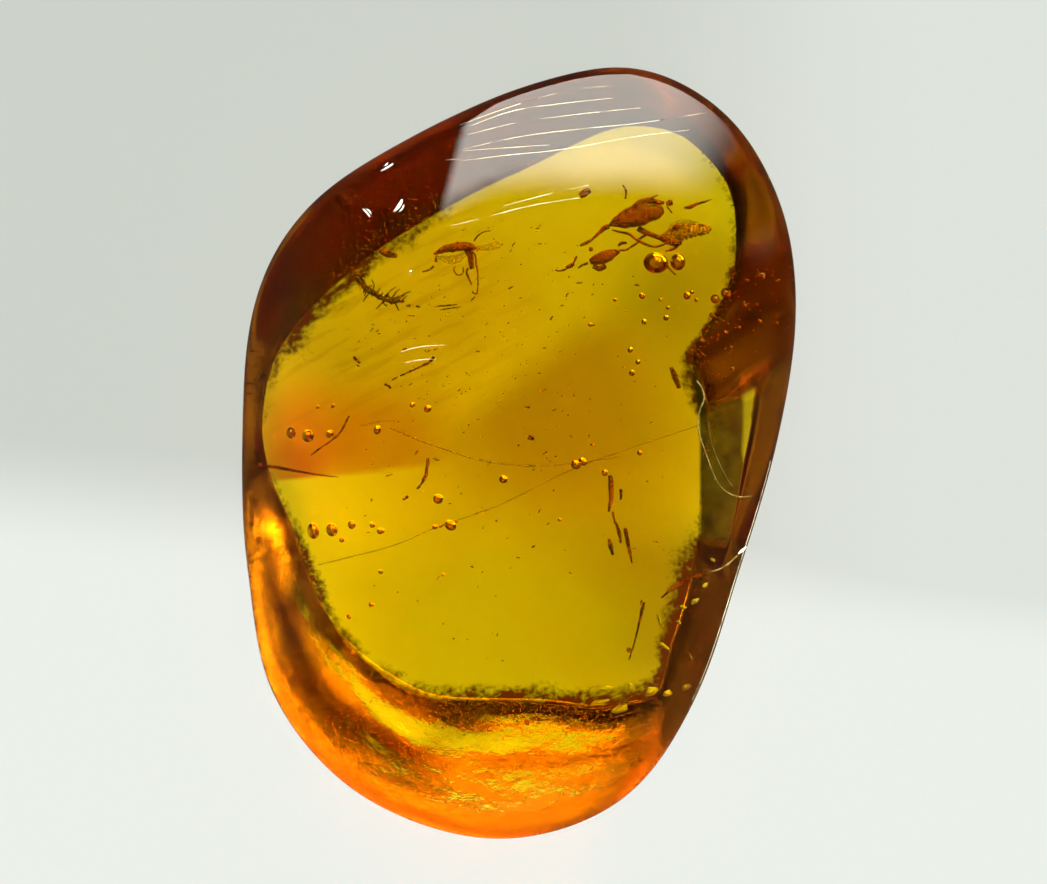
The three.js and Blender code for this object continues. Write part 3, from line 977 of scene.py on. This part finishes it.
class AMBER_OT_stone(bpy.types.Operator):
    """Builds the polished stone in place of the plain solid, and the film of dirt and painted shade in
    it
    """

    bl_idname = "amber.stone"
    bl_label = "Polished stone"

    def execute(self, context):
        settings = context.scene.amber_stone
        stone = show("polished_stone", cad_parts["amber"].data.copy())
        in_edit_mode(
            stone,
            (bpy.ops.mesh.remove_doubles, {"threshold": 1e-7}),
            (bpy.ops.mesh.tris_convert_to_quads, {}),
        )
        modified(stone, "SUBSURF", levels=2, render_levels=2)
        mesh = stone.data
        sight["dome"] = BVHTree.FromPolygons(
            [v.co.copy() for v in mesh.vertices], [list(p.vertices) for p in mesh.polygons]
        )

        places = points_of(stone) / MM
        at = on_bevel(places)
        at.signed = (at.direction + 180) % 360 - 180  # the direction again, from -180 to 180
        at.bottom = ramp(np.minimum(at.direction - 190, 325 - at.direction), 0, 20)
        at.drift = soft_noise(places, 2.2)
        off_streak = (at.share - STREAK_PLACE + STREAK_DRIFT * at.drift) / STREAK_WIDTH
        at.streak = np.exp(-(off_streak**2)) * looked_up(at.direction, STREAK)

        marks = {**self.ground(places, at), **self.dirt(places, at)}
        carry(mesh, marks)
        self.carve_scar(places, at)
        self.raise_terraces(places, at, settings.ripple)
        places[:, 2] = np.maximum(places[:, 2], 0)
        move_points(stone, places * MM)
        self.lump_crust(stone, marks["crust"] * ramp(at.rim, 0.3, 1.5), settings.crust_height)
        finish_piece(stone, amber_material(settings))
        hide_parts("amber")
        finish_piece(self.film(stone, self.film_marks(at, marks["film"])), film_material())
        return {"FINISHED"}

    def ground(self, places, at):
        """Where the bevel is ground, not polished, and where crust covers its lower part."""
        height = places[:, 2]
        off_back = ramp(height, 0.05, 0.3)
        # the crust lies below a slanting line, under the girdle, and clear of the back's edge
        crust = ramp(-(0.45 * places[:, 0] + places[:, 1]), 7.3, 8.9) * off_back
        crust *= ramp(height, 6.4, 5.2) * ramp(height - at.girdle, 0.9, 0.0)
        crust *= ramp(at.out - 0.3 * (1 + at.drift), 0, 0.5) * (1 - 0.3 * at.streak)
        # the ground part stops short of the outline, less so at the bottom
        polished = 0.25 - 0.2 * at.bottom
        ground = off_back * at.below * ramp(at.rim, polished, polished + 0.5 - 0.2 * at.bottom)
        # it is rougher in the wedge beside the scar, and towards the outline at the bottom
        wedge = np.exp(-(((at.direction - 26) / 13) ** 2))
        ground *= 1 + 1.2 * wedge + 1.1 * at.bottom * ramp(at.rim, 1.8, 0.6)
        return {"crust": crust, "ground": ground}

    def dirt(self, places, at):
        """The rusty wedge beside the scar, the dirt on both sides of the back's edge, and the olive
        shade painted on the scar."""
        warm = ramp(at.signed, 19, 23) * ramp(at.signed, 46, 38) * ramp(at.out, 0, 0.4)
        widths, thickness = looked_up(at.direction, EDGE_BAND)
        soil = thickness * ramp(np.abs(at.out + 0.1), widths, 0)
        smudge = seen(*SMUDGE, 0) / MM
        away = np.hypot(places[:, 0] - smudge.x, places[:, 1] - smudge.y)
        soil = np.maximum(soil, 0.36 * ramp(away, 6.5, 1.5))
        x, y = places[:, 0], places[:, 1]
        # the scar's olive film is painted shade
        left, right, low, high = (seen(*place, height) / MM for place, height in SCAR_SHADE)
        # its right side slants outwards lower down
        slanted = smooth((right.x + 0.1 - x) / 0.25 + np.clip(0.2 - y, 0, 2))
        film = ramp(x, left.x, left.x + 0.15) * slanted
        film *= ramp(y, low.y, low.y + 0.5) * ramp(y, high.y, high.y - 0.3)
        return {"warm": warm * at.below, "soil": soil * at.below, "film": film * at.below}

    def carve_scar(self, places, at):
        """A flake scar on the right: the slope is gentle out to its edge and steep beyond."""
        scar = ramp(at.signed, -32, -20) * ramp(at.signed, 25, 20) * at.below
        slope_height = (at.girdle - GIRDLE_LIFT) / (1 + GIRDLE_SHARE)
        beyond_edge = (slope_height - SCAR_SLOPE * at.width) * SCAR_EDGE
        drop = np.where(
            at.share < SCAR_EDGE,
            places[:, 2] - SCAR_SLOPE * at.out,
            beyond_edge * ramp(at.share, SCAR_EDGE + 0.4, SCAR_EDGE),
        )
        places[:, 2] -= np.where(at.out > 0, np.maximum(drop, 0), 0) * scar

    def raise_terraces(self, places, at, height):
        """Terraces along the lower bevel: a ledge lets the floor shine through, and the step above it
        doesn't."""
        sway, swell = soft_noise(places, 3.1), soft_noise(places, 1.7, 9)
        strength = looked_up(at.direction, TERRACES) * (0.8 + 0.9 * swell)
        wave = np.sin(2 * math.pi * (at.share - TERRACE_PLACE + 0.12 * sway) / TERRACE_SPACING)
        kept = np.maximum(ramp(at.share, 0.56, 0.42), looked_up(at.direction, OUTER_TERRACE))
        faded = ramp(at.share, 0, 0.12) * ramp(at.share, 1, 0.8) * at.below * kept
        places[:, 2] -= height * at.width * wave * strength * faded * (at.out > 0)

    def lump_crust(self, stone, amount, height):
        """Large and small lumps on the crust."""
        group = stone.vertex_groups.new(name="crust")
        for i in np.nonzero(amount > 0.01)[0]:
            group.add([int(i)], float(amount[i]), "REPLACE")
        for size, share in ((1.1, 1.0), (0.35, 0.3)):
            lumps(stone, size * MM, share * height * MM, 1, vertex_group=group.name)

    def film_marks(self, at, scar):
        """How densely a film of dirt lies along the bevel, how hazy it is and how rusty: rusty on the
        crust's streak, olive by the back's edge and as painted shade on the scar, and a thin painted
        shade all along the upper part."""
        tables = (FILM_BY_EDGE, EDGE_HAZE, FILM_PAINTED_SHADE, FILM_RUST)
        by_edge, edge_haze, haze_and_shade, rust = (looked_up(at.direction, table) for table in tables)
        reach = 0.9 + 0.7 * at.drift
        close = ramp(at.out, 1.3 * reach, 0.3 * reach)
        by_edge *= close
        point = ramp(np.abs(at.direction - FILM_POINT), 8, 0) * ramp(at.out, 2.25, 0.75)
        # thin layers lie along the outline at the bottom
        stretched = np.stack((at.direction / 16, at.share * 11, 5 + 0 * at.share), axis=1)
        layers = 0.35 * at.bottom * np.clip(soft_noise(stretched, 1) - 0.05, 0, 1)
        layers = layers * ramp(at.share, 0.3, 0.5)
        inside = at.below * ramp(at.out, 0, 0.1) * ramp(at.rim, 0, 0.25)
        # painted shade: the haze darkens the bevel by direction, on top of the dirt by the back's edge
        hazed_and_shaded = haze_and_shade * (1 + 0.5 * at.drift) + 0.5 * at.streak + edge_haze * by_edge
        hazed_and_shaded = hazed_and_shaded + 0.4 * point + layers
        return {
            "density": inside * np.maximum.reduce((by_edge, at.streak, 0.4 * scar, haze_and_shade, point)),
            "haze_and_shade": inside * hazed_and_shaded,
            "rust": np.clip(at.streak + layers * 4 + rust * (1 - 0.8 * close), 0, 1),
        }

    def film(self, stone, marks):
        """The thin film itself, just inside the bevel, wherever its density isn't nothing."""
        mesh = stone.data
        places = points_of(stone) - rows(mesh.vertices, "normal") * 0.05 * MM
        faces = [list(p.vertices) for p in mesh.polygons]
        faces = [face for face in faces if min(marks["density"][v] for v in face) > 0.02]
        used = sorted({v for face in faces for v in face})
        index = {v: i for i, v in enumerate(used)}
        sheet = bpy.data.meshes.new("bevel_film")
        sheet.from_pydata(places[used].tolist(), [], [[index[v] for v in face] for face in faces])
        carry(sheet, {name: values[used] for name, values in marks.items()})
        return modified(show("bevel_film", sheet), "SOLIDIFY", thickness=0.02 * MM)


class AMBER_OT_insects(bpy.types.Operator):
    """Adds the three gnats, the midge, their wings and the tuft of hairs"""

    bl_idname = "amber.insects"
    bl_label = "Insects"

    def execute(self, context):
        settings = context.scene.amber_inclusions
        tones = settings.cuticle, settings.cuticle_pale
        cuticle = matter("Dried insect cuticle", tones)
        for name, bodies, legs in (
            ("gnat_long", GNAT_LONG_BODY, GNAT_LONG_LEGS),
            ("gnat_curled", GNAT_CURLED_BODY, GNAT_CURLED_LEGS),
            ("midge", MIDGE_BODY, MIDGE_LEGS),
        ):
            insect = join(name, [self.body(name, bodies, 0.22, 0.07), threads(name + "_legs", legs)])
            finish_piece(settle(insect), cuticle)
        abdomen = self.body("gnat_ringed", GNAT_RINGED_BODY, 0.2, 0.03)
        finish_piece(settle(abdomen), matter("Pale ringed abdomen"))
        thorax = self.body("gnat_ringed_thorax", GNAT_RINGED_DARK, 0.2, 0.03)
        finish_piece(settle(thorax), cuticle)
        finish_piece(settle(blade("wings", WINGS, 0.07)), matter("Wing membrane"))

        widths = [w * 0.62 for w in TUFT_WIDTHS]
        spine = self.body("hair_tuft", [(TUFT_SPINE, widths, (3.2, 3.8))], 0.16, 0.12)
        hairs = threads("hair_tuft_hairs", [*TUFT_HAIRS, *self.short_hairs(settings.seed)], sides=1)
        finish_piece(settle(join("hair_tuft", [spine, hairs])), matter("Matted hairs"))
        return {"FINISHED"}

    def body(self, name, lines, grain, height):
        """A body, wrinkled."""
        return wrinkle(threads(name, lines, sides=4, smooth=5), grain, height)

    def short_hairs(self, seed, count=46):
        """The tuft's short hairs, which grow from its spine and all lean one way."""
        draw = random.Random(seed)
        hairs = []
        for _ in range(count):
            share = draw.uniform(0.03, 0.97) * (len(TUFT_SPINE) - 1)
            knot, part = int(share), share % 1
            a, b = TUFT_SPINE[knot], TUFT_SPINE[knot + 1]
            x, y = (a[k] + (b[k] - a[k]) * part for k in (0, 1))
            width = TUFT_WIDTHS[knot]
            lean = draw.choice((0.9, 0.7, -0.8)) + draw.gauss(0, 0.25)
            turn = math.atan2(b[1] - a[1], b[0] - a[0]) + lean
            reach = draw.uniform(0.16, 0.42)
            x += draw.uniform(-0.5, 0.5) * width
            y += draw.uniform(-0.5, 0.5) * width
            tip = (x + reach * math.cos(turn), y + reach * math.sin(turn))
            middle = ((x + tip[0]) / 2 + draw.gauss(0, 0.03), (y + tip[1]) / 2 + draw.gauss(0, 0.03))
            height = 3.6 + draw.uniform(-0.3, 0.4)
            hairs.append(([(x, y), middle, tip], [draw.uniform(0.03, 0.055), 0.018], height))
        return hairs


class AMBER_OT_bubbles(bpy.types.Operator):
    """Adds the gas bubbles and the crack faces, whose glints are painted pale yellow-green"""

    bl_idname = "amber.bubbles"
    bl_label = "Bubbles and crack faces"

    def execute(self, context):
        draw = random.Random(context.scene.amber_inclusions.seed + 1)
        placements = []
        for x, y, radius in BUBBLES:
            # over the bevel on the right they lie high up
            height = 4.9 if x > 7.6 else draw.uniform(3.0, 4.8)
            squash = (draw.uniform(0.92, 1.08), draw.uniform(0.92, 1.08), draw.uniform(0.9, 1.0))
            turn = Euler((0, 0, draw.uniform(0, 3)))
            # the dome magnifies them a little
            size = radius * 0.94 * MM
            placements.append(placed(seen(x, y, height), turn, [size * s for s in squash]))
        alone()
        bpy.ops.mesh.primitive_ico_sphere_add(subdivisions=4, radius=1)
        bubbles = copies("gas_bubbles", [bpy.context.object], placements)
        finish_piece(bubbles, bubble_material())

        placements = []
        for place, half, width, turn in SPANGLES:
            height = 3.6 if place[1] < -9.5 else draw.uniform(3.2, 4.6)
            tilt = [math.radians(a) for a in (draw.uniform(20, 50), draw.uniform(-25, 25), turn)]
            size = (half * MM, width * 0.85 * MM, 0.03 * MM)
            placements.append(placed(seen(*place, height), Euler(tilt), size))
        # the crack faces' glints are painted pale yellow-green
        faces = copies("crack_faces", rough_grains((7, 8, 9), 0.5), placements)
        finish_piece(faces, matter("Crack face with a painted glint"))
        return {"FINISHED"}


class AMBER_OT_fibres(bpy.types.Operator):
    """Adds the plant fibres, the long threads and the seams"""

    bl_idname = "amber.fibres"
    bl_label = "Fibres and threads"

    def execute(self, context):
        fibres = wrinkle(threads("plant_fibres", FIBRES, smooth=6), 0.2, 0.05)
        finish_piece(settle(fibres), matter("Plant fibre"))
        long_threads = threads("fine_threads", HAIR_THREADS, sides=1, smooth=8)
        finish_piece(settle(long_threads), matter("Hair-fine thread"))
        finish_piece(settle(blade("dark_seams", SEAMS, 0.35)), matter("Dark seam"))
        return {"FINISHED"}


class AMBER_OT_dust(bpy.types.Operator):
    """Scatters dust through the stone and grains along the edge of its back"""

    bl_idname = "amber.dust"
    bl_label = "Dust and edge dirt"

    def execute(self, context):
        settings = context.scene.amber_inclusions
        draw = random.Random(settings.seed + 2)
        placements = []
        while len(placements) < settings.specks:
            x, y = draw.gauss(-1.0, 4.5), draw.gauss(3.0, 6.5)
            upper_left = x < 2 and y > 2
            outside = math.hypot(x / 8.2, y / 10.5) > 0.92
            # away from the upper left there are fewer
            if outside or (not upper_left and draw.random() < 0.55):
                continue
            size = draw.choice((0.018, 0.022, 0.028, 0.04)) * MM
            stretch = draw.choice((1, 1, 1, 2.5, 4))
            centre = seen(x, y, draw.uniform(1.5, 5.0))
            lean = Euler((0, draw.uniform(-0.3, 0.3), draw.gauss(0.45, 0.5)))
            placements.append(placed(centre, lean, (size * stretch, size, size)))
        dust = copies("dust", rough_grains((1, 2, 3)), placements)
        finish_piece(dust, matter("Dust in amber"))

        at = on_bevel(near_pole(np.arange(361)))
        placements = []
        while len(placements) < settings.dirt:
            direction = draw.uniform(0, 360)
            width, density = looked_up(direction, EDGE_BAND)
            if draw.random() > density:
                continue
            out = abs(draw.gauss(0, 0.5)) * width + 0.08
            if draw.random() < 0.2:
                direction = draw.uniform(*STREAK_GRAINS)
                out = draw.gauss(STREAK_PLACE, 0.08) * at.width[int(direction)]
            turn = math.radians(direction)
            place = POLE + (at.edge[int(direction)] + out) * np.array((math.cos(turn), math.sin(turn)))
            # straight up from under the stone to its bevel
            under = Vector((*place, -1)) * MM
            point, normal, _, _ = sight["dome"].ray_cast(under, Vector((0, 0, 1)))
            if point is None:
                continue
            size = draw.choice((0.015, 0.02, 0.03, 0.045)) * MM * draw.uniform(0.8, 1.25)
            shape = (size * draw.uniform(1, 1.8), size, size * 0.6)
            turned = Euler([draw.uniform(0, 2 * math.pi) for _ in range(3)])
            placements.append(placed(point - normal * (size * 2.4), turned, shape))
        grit = copies("edge_dirt", rough_grains((4, 5, 6)), placements)
        finish_piece(grit, matter("Olive-brown grit"))
        return {"FINISHED"}


class AMBER_OT_surface(bpy.types.Operator):
    """Adds the cracks' lips, and the scratches and chips on the dome with their glints painted pale"""

    bl_idname = "amber.surface"
    bl_label = "Scratches and crack lips"

    def execute(self, context):
        scratches = [(line, [0.005, 0.014, 0.011, 0.005], 0.0) for line in SCRATCHES]
        # a thin pale line runs along the outline on the right
        around = near_pole(np.arange(-54, 2, 3))
        reach = 1 + on_bevel(around).rim - 0.1
        worn = POLE + (around[:, :2] - POLE) * reach[:, None]
        scratches.append((worn.tolist(), [0.004, 0.012, 0.012, 0.004], 0.0))
        # the scratches' glint is painted in their pale colour
        scratched = lay_on_dome(threads("dome_scratches", scratches, sides=1, smooth=10))
        finish_piece(scratched, matter("Frosted scratch, glint painted pale"))
        # the chips' glints are painted white
        chips = [(line, [radius * 0.4, radius, radius * 0.5], 0.0) for line, radius in CHIPS]
        painted_chip_glints = lay_on_dome(threads("dome_chip_glints", chips, sides=1))
        finish_piece(painted_chip_glints, matter("Chip glint, painted white"))
        lines = [(line, [radius * 0.65 for radius in radii], 0.0) for line, radii in CRACK_LIPS]
        lips = threads("crack_lips", lines, sides=1, smooth=8)
        lips = lay_on_dome(wrinkle(lips, 0.15, 0.05))
        finish_piece(lips, matter("Frosted crack lip"))
        return {"FINISHED"}


def soften(light, sides, ends, slant):
    """Fades a softbox out towards its right and left sides and its lower and upper ends.

    The upper end slants down to the right by this share of the height."""
    tree = blank(light)
    across = along_axes(tree, add(tree, "NewGeometry").outputs["Parametric"])
    lowered = times(tree, calculated(tree, "SUBTRACT", 1.0, across["X"]), slant)
    level = step(tree, plus(tree, across["Y"], lowered), 1, 1 - ends[1])
    fades = (across["Y"], 0, ends[0]), (across["X"], 0, sides[0]), (across["X"], 1, 1 - sides[1])
    for axis, start, end in fades:
        level = times(tree, level, step(tree, axis, start, end))
    finish(tree, "OutputLight", Surface=add(tree, "Emission", {"Strength": level}))


class AMBER_OT_stage(bpy.types.Operator):
    """Builds the floor, the lights, the backdrop and the camera"""

    bl_idname = "amber.stage"
    bl_label = "Studio"

    def execute(self, context):
        scene = context.scene
        settings = scene.amber_stage
        floor_only = bpy.data.collections.new("Floor only")
        floor_only.objects.link(self.floor(settings))
        self.backdrop(scene)
        # azimuth from +Y towards +X, elevation, distance, width and height, radiance
        box = self.softbox("softbox", 14, 28, 0.35, (0.46, 0.27), settings.softbox, lit_collection())
        box.data.color = linear("FFFBF0")[:3]
        soften(box.data, (0.42, 0.03), (0.1, 0.16), 0.2)
        box.visible_transmission = False
        glow = self.softbox("glow_light", 22, 27, 0.35, (0.5, 0.34), settings.glow, lit_collection())
        glow.visible_glossy = False
        self.softbox("floor_fill", 0, 90, 0.5, (0.4, 0.4), 0.8, floor_only)
        self.camera(scene)
        scene.view_settings.view_transform = "Standard"
        scene.cycles.max_bounces = scene.cycles.transmission_bounces = scene.cycles.glossy_bounces = 18
        scene.cycles.transparent_max_bounces = 32
        scene.cycles.blur_glossy = 0.0
        return {"FINISHED"}

    def floor(self, settings):
        """A card just under the stone, whose painted glow is darker far off and keeps its tone in the
        stone's shadow.
        """
        alone()
        bpy.ops.mesh.primitive_plane_add(size=1.2, location=(0, 0, -0.02 * MM))
        floor = bpy.context.object
        floor.name = "floor"
        material, tree = new_material("Glowing pale card")
        axes = along_axes(tree, position(tree))
        slant = plus(tree, axes["Y"], times(tree, axes["X"], 0.1))
        right = times(tree, step(tree, axes["X"], 2.0 * MM, 18.0 * MM), 0.55)
        near = calculated(tree, "MAXIMUM", step(tree, slant, -1.0 * MM, -7.0 * MM), right)
        card = {
            "Base Color": (0.15, 0.15, 0.15, 1),
            "Roughness": 0.9,
            # painted light: the card's glow, darker far off and lighter near and to the right, stands
            # in for its lighting
            "Emission Color": mixed_colour(
                tree, near, linear(settings.floor_top), linear(settings.floor_low)
            ),
            "Emission Strength": 0.96,
        }
        finish(tree, "OutputMaterial", Surface=add(tree, "BsdfPrincipled", card))
        floor.data.materials.append(material)
        floor.visible_glossy = False
        return floor

    def backdrop(self, scene):
        """Low down the room is dim where the dome mirrors it, brighter where it is seen through the
        stone, and it fades to dark overhead. The camera sees a plain pale backdrop."""
        scene.world = bpy.data.worlds.new("Studio")
        tree = blank(scene.world)
        height = along_axes(tree, add(tree, "TexCoord").outputs["Generated"])["Z"]
        path = add(tree, "LightPath").outputs
        level = spread(tree, path["Is Transmission Ray"], 0.06, 0.2, (0, 1))
        room = plus(tree, times(tree, step(tree, height, 0.6, 0.05), level), 0.006)
        dim = add(tree, "Background", {"Color": WHITE, "Strength": room})
        plain = add(tree, "Background", {"Color": linear("DCE1D9"), "Strength": 1.0})
        sockets = {0: path["Is Camera Ray"], 1: dim.outputs[0], 2: plain.outputs[0]}
        finish(tree, "OutputWorld", Surface=add(tree, "MixShader", sockets))

    def softbox(self, name, azimuth, elevation, distance, size, radiance, receivers):
        """A lamp that faces the stone and lights one collection only."""
        a, e = math.radians(azimuth), math.radians(elevation)
        towards = Vector((math.cos(e) * math.sin(a), math.cos(e) * math.cos(a), math.sin(e)))
        light = bpy.data.lights.new(name, "AREA")
        light.shape = "RECTANGLE"
        light.size, light.size_y = size
        light.energy = radiance * size[0] * size[1] * math.pi
        obj = bpy.data.objects.new(name, light)
        bpy.context.scene.collection.objects.link(obj)
        obj.location = Vector((0, 0, 4)) * MM + towards * distance
        obj.rotation_euler = towards.to_track_quat("Z", "Y").to_euler()
        obj.visible_camera = False
        obj.light_linking.receiver_collection = receivers
        return obj

    def camera(self, scene):
        """A long lens straight above the stone."""
        data = bpy.data.cameras.new("camera")
        data.lens, data.sensor_width = 100, 36
        data.clip_start = MM
        camera = bpy.data.objects.new("camera", data)
        scene.collection.objects.link(camera)
        camera.location = EYE * MM
        scene.camera = camera


class AMBER_PT_panel(bpy.types.Panel):
    """Lists the operators and their settings"""

    bl_label = "Insect in amber"
    bl_idname = "AMBER_PT_panel"
    bl_space_type = "VIEW_3D"
    bl_region_type = "UI"
    bl_category = "Amber"

    def draw(self, context):
        for operator in OPERATORS:
            self.layout.operator(operator.bl_idname)
        for name in SETTINGS:
            group = getattr(context.scene, name)
            box = self.layout.box()
            for setting in group.__annotations__:
                box.prop(group, setting)


SETTINGS = {
    "amber_stone": AmberStoneSettings,
    "amber_inclusions": AmberInclusionSettings,
    "amber_stage": AmberStageSettings,
}
OPERATORS = (
    AMBER_OT_stone,
    AMBER_OT_insects,
    AMBER_OT_bubbles,
    AMBER_OT_fibres,
    AMBER_OT_dust,
    AMBER_OT_surface,
    AMBER_OT_stage,
)
CLASSES = (*SETTINGS.values(), *OPERATORS, AMBER_PT_panel)


def register():
    for cls in CLASSES:
        bpy.utils.register_class(cls)
    for name, group in SETTINGS.items():
        setattr(bpy.types.Scene, name, PointerProperty(type=group))


def unregister():
    for name in SETTINGS:
        delattr(bpy.types.Scene, name)
    for cls in reversed(CLASSES):
        bpy.utils.unregister_class(cls)


def main():
    register()
    bpy.ops.amber.stone()
    bpy.ops.amber.insects()
    bpy.ops.amber.bubbles()
    bpy.ops.amber.fibres()
    bpy.ops.amber.dust()
    bpy.ops.amber.surface()
    bpy.ops.amber.stage()


if __name__ == "__main__":
    main()
